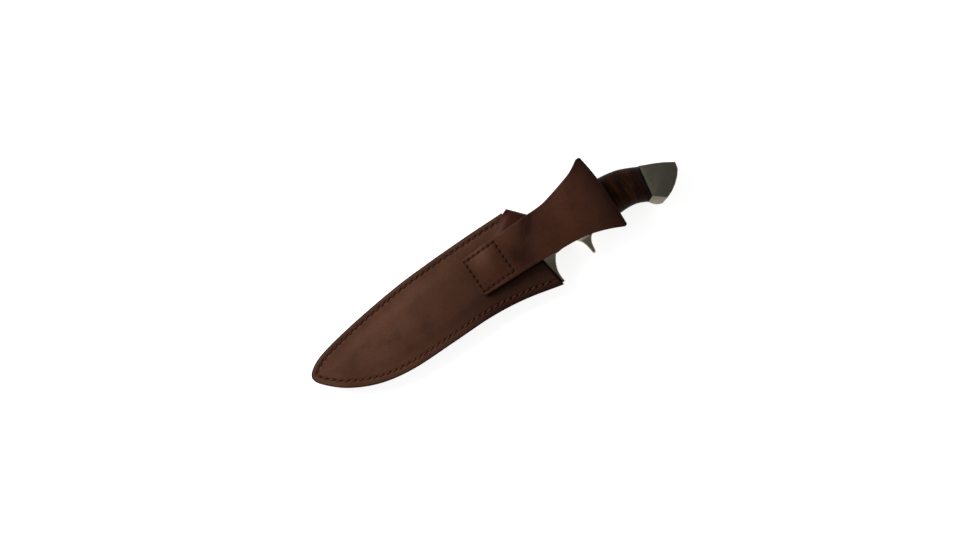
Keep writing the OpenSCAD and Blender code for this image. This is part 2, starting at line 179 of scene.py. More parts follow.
def lengths(p):
    """Distance along a polyline at each of its points."""
    return np.concatenate([[0], np.cumsum(np.linalg.norm(np.diff(p, axis=0), axis=1))])


def at_runs(p, runs):
    """Points at given distances along a polyline."""
    along = lengths(p)
    return np.stack([np.interp(runs, along, p[:, k]) for k in range(p.shape[1])], axis=1)


def resample(p, count):
    """count points at even steps along a polyline."""
    return at_runs(p, np.linspace(0, lengths(p)[-1], count))


def step(x, low, high):
    """0 below low, 1 above high, smooth between."""
    t = np.clip((np.asarray(x, float) - low) / (high - low), 0, 1)
    return t * t * (3 - 2 * t)


def bump(x, middle, width):
    """1 at the middle, falling away smoothly over the width."""
    return np.exp(-((np.asarray(x, float) - middle) / width) ** 2)


def rounded(rim, width):
    """Share of its thickness that leather keeps near a rounded rim: 0 at the rim, 1 from width inwards."""
    return np.sqrt(1 - (1 - np.clip(rim / width, 0, 1)) ** 2)


def in_chunks(points, distance, size=4000):
    """distance(points), worked out for some points at a time to save memory."""
    return np.concatenate([distance(points[k:k + size]) for k in range(0, len(points), size)])


def distance_to(points, line):
    """Distance from each point to a polyline."""
    a = line[:-1]
    ab = line[1:] - a

    def distance(p):
        t = np.clip(((p[:, None] - a) * ab).sum(2) / (ab ** 2).sum(1), 0, 1)
        return np.linalg.norm(p[:, None] - (a + t[..., None] * ab), axis=2).min(axis=1)

    return in_chunks(points, distance)


def distance_to_holes(points, holes):
    """Distance from each point to the nearest hole."""
    return in_chunks(points, lambda p: np.linalg.norm(p[:, None] - holes, axis=2).min(axis=1))


def rough(points, size, seed):
    """Smooth noise from -1 to 1 at each point, with features about size millimetres across."""
    return np.array([
        noise.noise(Vector((x / size + seed, y / size - seed, z / size))) for x, y, z in points
    ])


# ---- meshes ----

def new_object(name, verts, faces, material, body, slot, shades=None, pales=None):
    """A mesh object from plan points, riding on a body. Shades and pales are values at its points."""
    mesh = bpy.data.meshes.new(name)
    mesh.from_pydata(row(verts).tolist(), [], [tuple(int(i) for i in f) for f in faces])
    mesh.validate()
    for key, values in (("shade", shades), ("pale", pales)):
        if values is not None:
            attribute = mesh.attributes.new(key, "FLOAT", "POINT")
            attribute.data.foreach_set("value", np.asarray(values, np.float32))
    bm = bmesh.new()
    bm.from_mesh(mesh)
    bmesh.ops.remove_doubles(bm, verts=bm.verts, dist=0.002 * MM)
    bmesh.ops.recalc_face_normals(bm, faces=bm.faces)
    bm.to_mesh(mesh)
    bm.free()
    mesh.shade_smooth()
    mesh.materials.append(material)
    obj = bpy.data.objects.new(name, mesh)
    bpy.context.scene.collection.objects.link(obj)
    if body:
        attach(obj, body)
    return obj


def cad_copy(node, name, material):
    """A new object with a copy of a CAD node's mesh."""
    mesh = frame["nodes"][node].data.copy()
    mesh.materials.clear()
    mesh.materials.append(material)
    obj = bpy.data.objects.new(name, mesh)
    bpy.context.scene.collection.objects.link(obj)
    return obj


def tube_faces(rings, around, caps=True):
    """Faces of a skin over rings of points that are joined in order."""
    faces = []
    for i in range(rings - 1):
        for j in range(around):
            k = (j + 1) % around
            faces.append((i * around + j, i * around + k, (i + 1) * around + k, (i + 1) * around + j))
    if caps:
        faces.append(tuple(range(around))[::-1])
        faces.append(tuple((rings - 1) * around + j for j in range(around)))
    return faces


def sheet_faces(rings, across):
    """Faces of a closed sheet whose rings go across the top and back across the underside."""
    around = 2 * across
    faces = tube_faces(rings, around, caps=False)
    for first in (0, (rings - 1) * around):
        for j in range(across - 1):
            quad = (first + j, first + j + 1, first + around - 2 - j, first + around - 1 - j)
            faces.append(quad if first else quad[::-1])
    return faces


def spread_across(half):
    """Places across a strap from -1 to 1, closer together at its edges."""
    t = np.linspace(-1, 1, 2 * half + 1)
    return np.sign(t) * (1 - (1 - np.abs(t)) ** 1.25)


def normals(path):
    """Unit normals of a path in a plane, to the left of its way."""
    way = np.gradient(path, axis=0)
    way /= np.linalg.norm(way, axis=1)[:, None]
    return np.column_stack([-way[:, 1], way[:, 0]])


def strap_object(name, outer, inner, material, body, slot):
    """A strap from grids of x, y, z, shade and pale over its outer and inner faces."""
    grid = np.concatenate([np.dstack(outer), np.dstack(inner)[:, ::-1]], axis=1)
    rings, around, values = grid.shape
    rows = grid.reshape(-1, values)
    return new_object(name, rows[:, :3], sheet_faces(rings, around // 2), material, body, slot,
                      rows[:, 3], rows[:, 4])


def lathe(name, profile, at, material, body, slot):
    """A turned piece about a vertical line through a plan point; profile is (radius, z) pairs."""
    around = 48
    turn = np.linspace(0, 2 * math.pi, around, endpoint=False)
    rings = [[(at[0] + r * math.cos(a), at[1] + r * math.sin(a), z) for a in turn] for r, z in profile]
    return new_object(name, np.array(rings).reshape(-1, 3), tube_faces(len(profile), around), material,
                      body, slot)


def shade_by_angle(obj, degrees):
    """Smooth shading, with the edges sharper than this kept crisp."""
    bm = bmesh.new()
    bm.from_mesh(obj.data)
    for edge in bm.edges:
        edge.smooth = edge.calc_face_angle(0) < math.radians(degrees)
    for face in bm.faces:
        face.smooth = True
    bm.to_mesh(obj.data)
    bm.free()


# ---- materials ----

def srgb(code):
    """A hex colour as linear values."""
    parts = [int(code[i:i + 2], 16) / 255 for i in (1, 3, 5)]
    return [c / 12.92 if c <= 0.04045 else ((c + 0.055) / 1.055) ** 2.4 for c in parts] + [1]


class Nodes:
    """Short calls for building one material's node tree."""

    def __init__(self, name):
        self.material = bpy.data.materials.new(name)
        self.material.use_nodes = True
        self.tree = self.material.node_tree
        self.shader = self.tree.nodes["Principled BSDF"]
        self.place = self.add("ShaderNodeTexCoord").outputs["Object"]

    def add(self, kind, **values):
        node = self.tree.nodes.new(kind)
        for key, value in values.items():
            setattr(node, key, value)
        return node

    def link(self, source, target):
        self.tree.links.new(source, target)

    def put(self, value, socket):
        """Gives a socket a plain value or a link from another node."""
        if isinstance(value, (int, float, list)):
            socket.default_value = value
        else:
            self.link(value, socket)

    def stretched(self, scale):
        node = self.add("ShaderNodeMapping")
        node.inputs["Scale"].default_value = scale
        self.link(self.place, node.inputs["Vector"])
        return node.outputs["Vector"]

    def noise(self, scale, detail=4, roughness=0.55, vector=None):
        node = self.add("ShaderNodeTexNoise")
        node.inputs["Scale"].default_value = scale
        node.inputs["Detail"].default_value = detail
        node.inputs["Roughness"].default_value = roughness
        self.link(vector or self.place, node.inputs["Vector"])
        return node.outputs["Fac"]

    def cell_edges(self, scale):
        node = self.add("ShaderNodeTexVoronoi", feature="DISTANCE_TO_EDGE")
        node.inputs["Scale"].default_value = scale
        self.link(self.place, node.inputs["Vector"])
        return node.outputs["Distance"]

    def attribute(self, name):
        return self.add("ShaderNodeAttribute", attribute_name=name).outputs["Fac"]

    def remap(self, value, low, high, to_low=0.0, to_high=1.0):
        node = self.add("ShaderNodeMapRange", interpolation_type="SMOOTHSTEP")
        ends = {"From Min": low, "From Max": high, "To Min": to_low, "To Max": to_high}
        for key, number in ends.items():
            node.inputs[key].default_value = number
        self.link(value, node.inputs["Value"])
        return node.outputs["Result"]

    def math(self, operation, a, b):
        node = self.add("ShaderNodeMath", operation=operation)
        self.put(a, node.inputs[0])
        self.put(b, node.inputs[1])
        return node.outputs["Value"]

    def mix(self, amount, a, b):
        node = self.add("ShaderNodeMix", data_type="RGBA", blend_type="MIX")
        self.put(amount, node.inputs["Factor"])
        self.put(a, node.inputs["A"])
        self.put(b, node.inputs["B"])
        return node.outputs["Result"]

    def relief(self, height, strength, distance, under=None):
        node = self.add("ShaderNodeBump")
        node.inputs["Strength"].default_value = strength
        node.inputs["Distance"].default_value = distance
        self.link(height, node.inputs["Height"])
        if under:
            self.link(under, node.inputs["Normal"])
        return node.outputs["Normal"]

    def finish(self, **inputs):
        for key, value in inputs.items():
            self.put(value, self.shader.inputs[key.replace("_", " ")])
        return self.material


def leather(name, body, dark, light, rough_low=0.52, rough_high=0.7, grain=1.0, pale_color="#6B4938"):
    """Waxed leather: clouds of colour, fine grain and creases; shade darkens it (burnish and painted shade)
    and pale lightens it (painted highlight, and the keeper's paler root).
    """
    n = Nodes(name)
    clouds = n.noise(22, 4, 0.5)
    color = n.mix(n.remap(clouds, 0.35, 0.68), srgb(body), srgb(light))
    color = n.mix(n.remap(n.noise(75, 5, 0.6), 0.48, 0.8, 0, 0.55), color, srgb(dark))
    color = n.mix(n.remap(n.noise(420, 3, 0.6), 0.4, 0.8, 0, 0.25), color, srgb(dark))
    color = n.mix(n.attribute("pale"), color, srgb(pale_color))
    color = n.mix(n.attribute("shade"), color, srgb("#1E0A05"))
    pores = n.remap(n.cell_edges(1100), 0.0, 0.12)
    folds = n.noise(300, 6, 0.65, n.stretched((1.0, 1.6, 1.0)))
    relief = n.relief(pores, 0.2 * grain, 0.0001)
    relief = n.relief(folds, 0.35 * grain, 0.00022, relief)
    roughness = n.remap(n.noise(120, 5), 0.3, 0.7, rough_low, rough_high)
    roughness = n.math("ADD", roughness, n.math("MULTIPLY", n.attribute("shade"), 0.25))
    return n.finish(Base_Color=color, Roughness=roughness, Normal=relief, Specular_IOR_Level=0.1)


def stacked_leather(name, body, dark, light):
    """The edge of a pressed leather washer: fine layers, polished."""
    n = Nodes(name)
    layers = n.noise(150, 5, 0.7, n.stretched((5.0, 0.8, 0.8)))
    streaks = n.noise(60, 4, 0.5, n.stretched((2.5, 0.8, 0.8)))
    color = n.mix(n.remap(layers, 0.35, 0.7), srgb(dark), srgb(body))
    color = n.mix(n.remap(streaks, 0.42, 0.7, 0, 0.85), color, srgb(light))
    # shade darkens the joints and paints shade along the rims.
    color = n.mix(n.attribute("shade"), color, srgb("#060302"))
    return n.finish(Base_Color=color, Roughness=n.remap(layers, 0.3, 0.7, 0.42, 0.56),
                    Normal=n.relief(layers, 0.3, 0.00012), Specular_IOR_Level=0.07)


def steel(name, body, dark, roughness, along=(0.6, 30.0, 30.0)):
    """Satin steel with fine lines one way and a faint uneven tarnish."""
    n = Nodes(name)
    lines = n.noise(130, 6, 0.75, n.stretched(along))
    tarnish = n.remap(n.noise(55, 6, 0.65), 0.42, 0.72)
    color = n.mix(n.math("MULTIPLY", tarnish, 0.6), srgb(body), srgb(dark))
    # shade paints shade into the gap at the sheath's mouth.
    color = n.mix(n.attribute("shade"), color, srgb("#080604"))
    rough_value = n.remap(lines, 0.3, 0.7, roughness - 0.05, roughness + 0.07)
    rough_value = n.math("ADD", rough_value, n.math("MULTIPLY", tarnish, 0.1))
    return n.finish(Base_Color=color, Metallic=1.0, Roughness=rough_value,
                    Normal=n.relief(lines, 0.12, 0.00006))


def thread_material(name, body, dark):
    n = Nodes(name)
    fibres = n.noise(1500, 3, 0.7)
    color = n.mix(n.remap(fibres, 0.35, 0.7), srgb(body), srgb(dark))
    color = n.mix(n.attribute("shade"), color, srgb("#1A0C07"))
    return n.finish(Base_Color=color, Roughness=0.65, Normal=n.relief(fibres, 0.4, 0.0001),
                    Specular_IOR_Level=0.1)


def fibre_spacer():
    n = Nodes("spacer_fibre")
    specks = n.noise(600, 4)
    color = n.mix(n.remap(specks, 0.4, 0.7), srgb("#0B0908"), srgb("#161210"))
    return n.finish(Base_Color=color, Roughness=0.45, Specular_IOR_Level=0.15,
                    Normal=n.relief(specks, 0.15, 0.0001))


SHEATH_LEATHER = leather("sheath_leather", "#4F3123", "#382019", "#5B3B2B")
STRAP_LEATHER = leather("strap_leather", "#462718", "#2F1710", "#512F20")
KEEPER_LEATHER = leather("keeper_leather", "#401C13", "#290F0A", "#4C261A", pale_color="#4E3225")
EDGE_LEATHER = leather("burnished_edge", "#1E110B", "#130A07", "#281810", 0.45, 0.6, 0.6)
THREAD = thread_material("thread", "#6E3D2B", "#42220F")
DARK_THREAD = thread_material("dark_thread", "#44261A", "#241209")
GUARD_STEEL = steel("guard_steel", "#9A9380", "#665F50", 0.34)
# Painted light: the sub-hilt's steel is the guard's steel made lighter, to stand in for the light it
# catches.
LIT_PRONG_STEEL = steel("prong_steel_painted_light", "#BFB59E", "#837A68", 0.32)
POMMEL_STEEL = steel("pommel_steel", "#8A8475", "#575246", 0.36, (30.0, 0.8, 30.0))
BLADE_STEEL = steel("blade_steel", "#B4B7BA", "#8C8F92", 0.25, (0.5, 30.0, 30.0))
SNAP_STEEL = steel("snap_steel", "#A39D90", "#5E584D", 0.28)
FIBRE = fibre_spacer()
WASHER_LEATHERS = [
    stacked_leather("washer_leather_a", "#2F170B", "#1B0D07", "#41220D"),
    stacked_leather("washer_leather_b", "#2A130C", "#190B07", "#3E2012"),
    stacked_leather("washer_leather_c", "#33190B", "#1D0E08", "#46240D"),
    stacked_leather("washer_leather_d", "#2C150B", "#180B06", "#3C200E"),
]


# ---- camera, floor and light ----

# The photograph looks straight down, with the draw direction 35 degrees up to the right
VIEW_TURN = math.radians(-35)
VIEW_MIDDLE = Vector(row((-42.9, 2.5, 0)))
VIEW_WIDTH = 0.8313
VIEW_DISTANCE = 2.0
SENSOR_WIDTH = 36.0
FLOOR_HALF = 3.0
FLOOR_GLOW = 0.79
LAMP_PLACE = Vector((-0.42, 0.17, 0.27))
LAMP_SIDE = 0.35
LAMP_POWER = 2.7


def make_camera():
    camera = bpy.data.objects.new("camera", bpy.data.cameras.new("camera"))
    camera.data.lens = SENSOR_WIDTH * VIEW_DISTANCE / VIEW_WIDTH
    camera.data.sensor_width = SENSOR_WIDTH
    camera.location = VIEW_MIDDLE + Vector((0, 0, VIEW_DISTANCE))
    camera.rotation_euler = (0, 0, VIEW_TURN)
    bpy.context.scene.collection.objects.link(camera)
    bpy.context.scene.camera = camera


def make_floor():
    """A plain pale floor that glows a little, as in a product photograph's white ground."""
    floor_mesh = bpy.data.meshes.new("floor")
    corners = [(FLOOR_HALF * x, FLOOR_HALF * y, 0) for x, y in ((-1, -1), (1, -1), (1, 1), (-1, 1))]
    floor_mesh.from_pydata(corners, [], [(0, 1, 2, 3)])
    floor = bpy.data.objects.new("floor", floor_mesh)
    n = Nodes("floor")
    floor_mesh.materials.append(n.finish(
        Base_Color=[0.8, 0.8, 0.8, 1], Roughness=0.9, Specular_IOR_Level=0.1,
        Emission_Color=[1, 1, 1, 1], Emission_Strength=FLOOR_GLOW,
    ))
    bpy.context.scene.collection.objects.link(floor)


def make_sky():
    """Soft light all round from low down, and a dark ceiling that polished faces reflect."""
    world = bpy.data.worlds.new("world")
    world.use_nodes = True
    tree = world.node_tree
    place = tree.nodes.new("ShaderNodeTexCoord")
    split = tree.nodes.new("ShaderNodeSeparateXYZ")
    ramp = tree.nodes.new("ShaderNodeMapRange")
    ramp.interpolation_type = "SMOOTHSTEP"
    for key, number in (("From Min", 0.35), ("From Max", 0.85), ("To Min", 0.6), ("To Max", 0.12)):
        ramp.inputs[key].default_value = number
    tree.links.new(place.outputs["Generated"], split.inputs["Vector"])
    tree.links.new(split.outputs["Z"], ramp.inputs["Value"])
    tree.links.new(ramp.outputs["Result"], tree.nodes["Background"].inputs["Strength"])
    tree.nodes["Background"].inputs["Color"].default_value = (1, 1, 1, 1)
    bpy.context.scene.world = world


def make_lamp():
    """One soft lamp, low over the floor, up and to the left in the photograph."""
    lamp = bpy.data.objects.new("key", bpy.data.lights.new("key", "AREA"))
    lamp.data.size = LAMP_SIDE
    lamp.data.energy = LAMP_POWER
    lamp.location = VIEW_MIDDLE + Matrix.Rotation(VIEW_TURN, 4, "Z") @ LAMP_PLACE
    lamp.rotation_euler = (VIEW_MIDDLE - lamp.location).to_track_quat("-Z", "Y").to_euler()
    bpy.context.scene.collection.objects.link(lamp)


make_camera()
make_floor()
make_sky()
make_lamp()
bpy.context.scene.view_settings.view_transform = "Standard"


# ---- the sheath ----

EDGE_RUN = lengths(EDGE)


def edge_point(run, inset):
    """A point along the sheath's edge, moved inwards."""
    behind, here, ahead = at_runs(EDGE, run + np.array([-0.5, 0, 0.5]))
    way = (ahead - behind) / np.linalg.norm(ahead - behind)
    return here + inset * np.array([-way[1], way[0]])


def stitch_line():
    """The sewn line: closer to the edge on the spine side than on the other."""
    runs = np.linspace(0, EDGE_RUN[-1], 900)
    knots = np.interp(runs, EDGE_RUN, np.linspace(0, len(SHEATH_KNOTS) - 1, len(EDGE)))
    insets = np.interp(knots, [TIP_KNOT - 1, TIP_KNOT + 2], [SPINE_INSET, BELLY_INSET])
    return np.array([edge_point(run, inset) for run, inset in zip(runs, insets)])


STITCH_LINE = stitch_line()


def stitch_holes():
    """Holes at an even pitch along the sewn line."""
    count = int((lengths(STITCH_LINE)[-1] - 2 * FIRST_STITCH) // STITCH_PITCH) + 1
    return at_runs(STITCH_LINE, FIRST_STITCH + STITCH_PITCH * np.arange(count))


HOLES = stitch_holes()


def crown(x, inset):
    """How far a panel stands out over the blade."""
    along = step(-x, 50, 90) * (1 - 0.6 * step(-x, 165, 205))
    return along * (1.5 * step(inset, 7, 20) + 0.8 * step(inset, 10, 34))


def strap_shadow(x, y):
    """Painted shadow where the belt loop hangs over the back panel, darkest along its lower edge."""
    low = np.interp(x, [k[0] for k in LOOP_LOWER], [k[1] for k in LOOP_LOWER])
    under = 0.62 * step(x, -100, -48) * (1 - step(y, -14, 2))
    return under + 0.45 * bump(y - low, -0.6, 1.4) * step(x, -57, -52)


def panel_height(plan, seed):
    """Height of a panel's outer face at plan points: crowned, rounded at the edge, pulled in by the seam."""
    inset = distance_to(plan, EDGE)
    edge_drop = 1.3 * (1 - rounded(inset, 1.5))
    mouth_drop = 0.9 * (1 - rounded(distance_to(plan, MOUTH), 1.1))
    points = np.column_stack([plan, np.zeros(len(plan))])
    height = PANEL_OUT - np.maximum(edge_drop, mouth_drop) + crown(plan[:, 0], inset)
    height -= 0.5 * bump(distance_to(plan, STITCH_LINE), 0, 1.1)
    height -= 0.6 * bump(distance_to_holes(plan, HOLES), 0, 0.8)
    return height + 0.16 * rough(points, 22, seed) * step(inset, 2, 9) + 0.05 * rough(points, 6, seed + 3)


def panel_shade(plan):
    """Darkening of a panel's outer face: its burnished edge, and painted shade in the stitch holes, along
    the seam, in the belly side's margin and at the mouth.
    """
    inset = distance_to(plan, EDGE)
    x, y = plan.T
    shade = 0.9 * (1 - step(inset, 0.4, 1.3))
    shade += 0.65 * bump(distance_to_holes(plan, HOLES), 0, 0.85)
    shade += 0.12 * bump(distance_to(plan, STITCH_LINE), 0, 0.9)
    shade += 0.22 * (1 - step(inset, 2.5, 5.5)) * (1 - step(y, -14, 0))
    return np.maximum(shade, 0.8 * (1 - step(distance_to(plan, MOUTH), 0.3, 1.5)))


def panel(name, node, side, seed):
    """One side of the sheath: side is 1 for the belt-loop side and -1 for the front."""
    rows, half = 470, 42
    # The inner faces, which face the blade, get painted shade.
    inner_shade = 0.6
    spine = resample(EDGE[:TIP_KNOT * EDGE_STEPS + 1], rows)
    belly = resample(EDGE[TIP_KNOT * EDGE_STEPS:][::-1], rows)
    for line in (spine, belly):
        line[0] += (GUARD_CLEAR, 0)
    near = (np.arange(half + 1) / half) ** 1.3 / 2
    share = np.concatenate([near, 1 - near[-2::-1]])
    plan = spine[:, None] * (1 - share[:, None]) + belly[:, None] * share[:, None]
    plan = plan.reshape(-1, 2)
    height = panel_height(plan, seed)
    shade = panel_shade(plan)
    if side > 0:
        shade += strap_shadow(plan[:, 0], plan[:, 1])
    shade = np.clip(shade, 0, 1)
    inner = np.minimum(PANEL_IN + 0.35 * (1 - step(distance_to(plan, EDGE), 0, 0.8)), height - 0.1)
    grid = (rows, len(share), 4)
    outer_face = np.column_stack([plan, side * height, shade]).reshape(grid)
    inner_face = np.column_stack([plan, side * inner, np.full(len(plan), inner_shade)]).reshape(grid)
    rings = np.concatenate([outer_face, inner_face[:, ::-1]], axis=1).reshape(-1, 4)
    obj = new_object(name, rings[:, :3], sheet_faces(rows, len(share)), SHEATH_LEATHER, "sheath",
                     "sheath_leather", rings[:, 3])
    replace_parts(obj, node)


panel("back_panel_leather", "back_panel", 1, 1)
panel("front_panel_leather", "front_panel", -1, 5)


def make_welt():
    """The U of leather between the panels, burnished outside."""
    count = 420
    outer = np.array([edge_point(run, 0.25) for run in np.linspace(0, EDGE_RUN[-1], count)])
    inner = resample(smooth(CAVITY_KNOTS), count)
    for line in (outer, inner):
        line[[0, -1]] += (GUARD_CLEAR, 0)
    # Share of the way in from the outer edge, and level from the front (-1) to the back (1)
    profile = [(0.0072, -1), (0, -0.85), (-0.0018, 0), (0, 0.85), (0.0072, 1), (1, 1), (1, -1)]
    columns = [
        np.column_stack([outer + (inner - outer) * share, np.full(count, level * PANEL_IN)])
        for share, level in profile
    ]
    rings = np.stack(columns, axis=1).reshape(-1, 3)
    obj = new_object("welt_leather", rings, tube_faces(count, len(profile)), EDGE_LEATHER, "sheath",
                     "welt_leather")
    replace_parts(obj, "welt")


make_welt()


# ---- thread ----

def thread_run(start, end, normal, seed, lift=0.35, radius=THREAD_R):
    """One visible run of two-ply thread between two holes, rising from one and diving into the next."""
    rings, around = 11, 8
    sink, twists, ply_depth = 0.9, 2.5, 0.16
    start, end, normal = (np.asarray(v, float) for v in (start, end, normal))
    along = (end - start) / np.linalg.norm(end - start)
    across = np.cross(normal, along)
    verts = []
    for t in np.linspace(0, 1, rings):
        rise = -sink + (sink + lift) * max(math.sin(math.pi * t), 0) ** 0.45
        middle = start + (end - start) * t + normal * rise
        for j in range(around):
            a = 2 * math.pi * j / around
            r = radius * (1 + ply_depth * math.cos(2 * a - 2 * math.pi * twists * t + seed))
            verts.append(middle + r * (math.cos(a) * across + math.sin(a) * normal))
    return np.array(verts), tube_faces(rings, around)


def thread_object(name, runs, material, slot, node, shades):
    """Runs of thread as one object, each with its own shade."""
    verts, faces, count = [], [], 0
    for v, f in runs:
        faces += [tuple(i + count for i in face) for face in f]
        verts.append(v)
        count += len(v)
    spread = np.repeat(shades, [len(v) for v in verts])
    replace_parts(new_object(name, np.vstack(verts), faces, material, "sheath", slot, spread), node)


def edge_stitching():
    """Slanted stitches round both faces, darker towards the spine."""
    middles = (HOLES[:-1] + HOLES[1:]) / 2
    heights = panel_height(middles, 1)
    shades = 0.55 * step(middles[:, 1], -4, 22)
    runs = []
    for side in (1, -1):
        for k in range(len(HOLES) - 1):
            a, b = HOLES[k], HOLES[k + 1]
            way = (b - a) / np.linalg.norm(b - a)
            lean = 0.85 * np.array([-way[1], way[0]])
            z = side * (heights[k] + 0.25)
            start = np.append(a + 0.1 * (b - a) - lean, z)
            end = np.append(b - 0.1 * (b - a) + lean, z)
            runs.append(thread_run(start, end, (0, 0, side), k * 1.7))
    thread_object("edge_thread", runs, THREAD, "thread", "edge_stitching", np.tile(shades, 2))


edge_stitching()


# ---- the belt loop ----

SEAT_Z = PANEL_OUT + LOOP_T / 2
OVER_KEEPER_Z = PANEL_OUT + KEEPER_T + 0.35 + LOOP_T / 2
OVER_GRIP_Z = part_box("belt_loop")[1][2] / MM - MID_Z - LOOP_T / 2 - 2 * FOLD_R
FOLD_X = LOOP_REACH_X - FOLD_R - LOOP_T / 2
LEG_STEP = LOOP_T + 0.2


def loop_path():
    """The strap's middle as (x, z): along the lower leg, round the fold and back along the upper leg."""
    lower = [(LOOP_END_X, SEAT_Z), (-46, SEAT_Z), (-33, OVER_KEEPER_Z), (-20, OVER_KEEPER_Z),
             (-4, OVER_GRIP_Z), (30, OVER_GRIP_Z), (FOLD_X - 2, OVER_GRIP_Z)]
    top = OVER_GRIP_Z + 2 * FOLD_R
    upper = [(FOLD_X - 4, top), (45, top - 0.2), (15, OVER_GRIP_Z + 5.2), (-6, OVER_GRIP_Z + 2.9),
             (-20, OVER_KEEPER_Z + LEG_STEP), (-33, OVER_KEEPER_Z + LEG_STEP),
             (-46, SEAT_Z + LEG_STEP), (LOOP_END_X, SEAT_Z + LEG_STEP)]
    turn = np.radians(np.arange(-84, 85, 6))
    arc = np.column_stack([FOLD_X + FOLD_R * np.cos(turn), OVER_GRIP_Z + FOLD_R * (1 + np.sin(turn))])
    return np.vstack([smooth(lower, 16), arc, smooth(upper, 16)])


def loop_limits(x):
    """The strap's two edges at distances x, with its sewn end's corners rounded."""
    upper, lower = smooth(LOOP_UPPER), smooth(LOOP_LOWER)
    corner = 5.0
    into = np.clip(corner - (x - LOOP_END_X), 0, corner)
    cut = corner - np.sqrt(corner ** 2 - into ** 2)
    return np.interp(x, lower[:, 0], lower[:, 1]) + cut, np.interp(x, upper[:, 0], upper[:, 1]) - cut


def box_holes():
    """The holes round the square of stitches, side by side."""
    holes = []
    for side in range(4):
        way = np.array([math.cos(side * math.pi / 2), math.sin(side * math.pi / 2)])
        corner = np.array(BOX_MID) - BOX_SIDE / 2 * (way + np.array([-way[1], way[0]]))
        holes += [corner + way * BOX_PITCH * k for k in range(BOX_COUNT)]
    return np.array(holes)


BOX_HOLES = box_holes()


class LoopFace:
    """One face of the strap as grids over its path and its width; side is 1 for the outer face."""

    def __init__(self, path, side):
        self.side = side
        self.spread = spread_across(LOOP_HALF)[None]
        low, high = (edge[:, None] for edge in loop_limits(path[:, 0]))
        self.y = low + (self.spread + 1) / 2 * (high - low)
        self.from_edge = np.minimum(self.y - low, high - self.y)
        number = np.arange(len(path))
        spacing = lengths(path)[-1] / (len(path) - 1)
        self.rim = np.minimum(self.from_edge, np.minimum(number, number[::-1])[:, None] * spacing)
        self.on_top = step(number, *LOOP_TOP)[:, None]
        self.place(path)
        self.read_surface()
        self.form()

    def place(self, path):
        """The face's x and z, with the fold bowed and pinched flatter towards its corners."""
        thick = LOOP_T / 2 * rounded(self.rim, 1.1)
        normal = -normals(path)
        x = path[:, 0][:, None] + self.side * thick * normal[:, 0][:, None]
        z = path[:, 1][:, None] + self.side * thick * normal[:, 1][:, None]
        fold = smooth(FOLD_LINE)
        self.fold_x = np.interp(self.y, fold[:, 0], fold[:, 1])
        self.x = x - (LOOP_REACH_X - self.fold_x) * step(path[:, 0], 58, 77)[:, None]
        pinch = 0.42 * step(np.abs(self.spread), 0.45, 1.0) * step(path[:, 0], 55, 76)[:, None]
        middle = OVER_GRIP_Z + FOLD_R
        self.z = middle + (z - middle) * (1 - pinch)

    def noise(self, size, seed, stretch=None):
        """Noise over the face, or over other coordinates made from it."""
        if stretch is None:
            on_top = np.broadcast_to(self.on_top, self.y.shape)
            stretch = (self.x, self.y, self.z * 0.3 + 40 * on_top)
        points = np.column_stack([value.ravel() for value in stretch])
        return rough(points, size, seed).reshape(self.y.shape)

    def read_surface(self):
        """Measures that the form and the shade share. bend is the distance across the creased bend."""
        across = np.column_stack([self.x.ravel(), self.y.ravel()])
        self.hole = distance_to_holes(across, BOX_HOLES).reshape(self.y.shape)
        self.wear = self.noise(16, 2)
        self.bend = self.x - (0.7 * self.y - 5.5)
        creases = (self.bend, (self.x * 0.7 + self.y) / 6, np.full(self.y.shape, 9.0 * self.side))
        self.ripple = self.noise(1.6, 4, creases) * bump(self.bend, -1, 11)
        self.ripple *= 0.5 + 0.9 * self.noise(7, 8)

    def form(self):
        """Droop, creases and the pillow inside the square of stitches."""
        droop = 1.3 * np.abs(self.spread) ** 2.5 * step(self.x, -30, 0) * (1 - step(self.x, 45, 70))
        relief = 0.36 * self.ripple * step(self.from_edge, 0, 6) + 0.12 * self.wear * step(self.rim, 0.5, 3)
        if self.side == 1:
            out_x, out_y = np.abs(self.x - BOX_MID[0]), np.abs(self.y - BOX_MID[1])
            pillow = (out_x ** 3 + out_y ** 3) ** (1 / 3) - BOX_SIDE / 2
            seam = np.maximum(out_x, out_y) - BOX_SIDE / 2
            relief += self.on_top * 2.0 * (1 - step(pillow, -13, 0))
            relief -= self.on_top * (0.35 * bump(seam, 0, 1.2) + 0.8 * bump(self.hole, 0, 1.1))
            relief -= self.on_top * 0.7 * bump(self.bend, 2, 7) * step(self.from_edge, 0, 5)
        self.z += relief - droop

    def shade(self):
        """Darker rims, and painted shade in the stitch holes, towards the fold, in the creases and in the
        hollow beside the box.
        """
        edge_shade = 0.5 * (1 - step(self.rim, 0.1, 1.1)) + self.on_top * 0.9 * bump(self.hole, 0, 1.1)
        from_fold = self.fold_x - self.x
        fold_shade = 0.54 * (1 - step(from_fold, 2, 24)) + 0.25 * (1 - step(from_fold, 0, 3))
        fold_shade += 0.15 * (1 - step(from_fold, 20, 50))
        hollow = bump(self.x, -16, 6) * bump(self.y, 4, 10)
        crease = 0.7 * bump(self.bend, 0, 12) * (0.8 + 0.4 * self.wear) + 0.55 * hollow
        crease -= 0.3 * np.clip(self.ripple, -1, 0)
        return np.clip(np.maximum(edge_shade, fold_shade + self.on_top * crease), 0, 1)

    def grids(self):
        # pale is a painted highlight along the top of the sewn box, where the pillow faces the light.
        pale = self.on_top * 0.5 * bump(self.x, -42, 14) * bump(self.y, 25, 9)
        shade = self.shade()
        if self.side == 1:
            return self.x, self.y, self.z, shade, pale
        # The inner face gets painted shade.
        return self.x, self.y, self.z, shade * 0.6 + 0.2, pale * 0


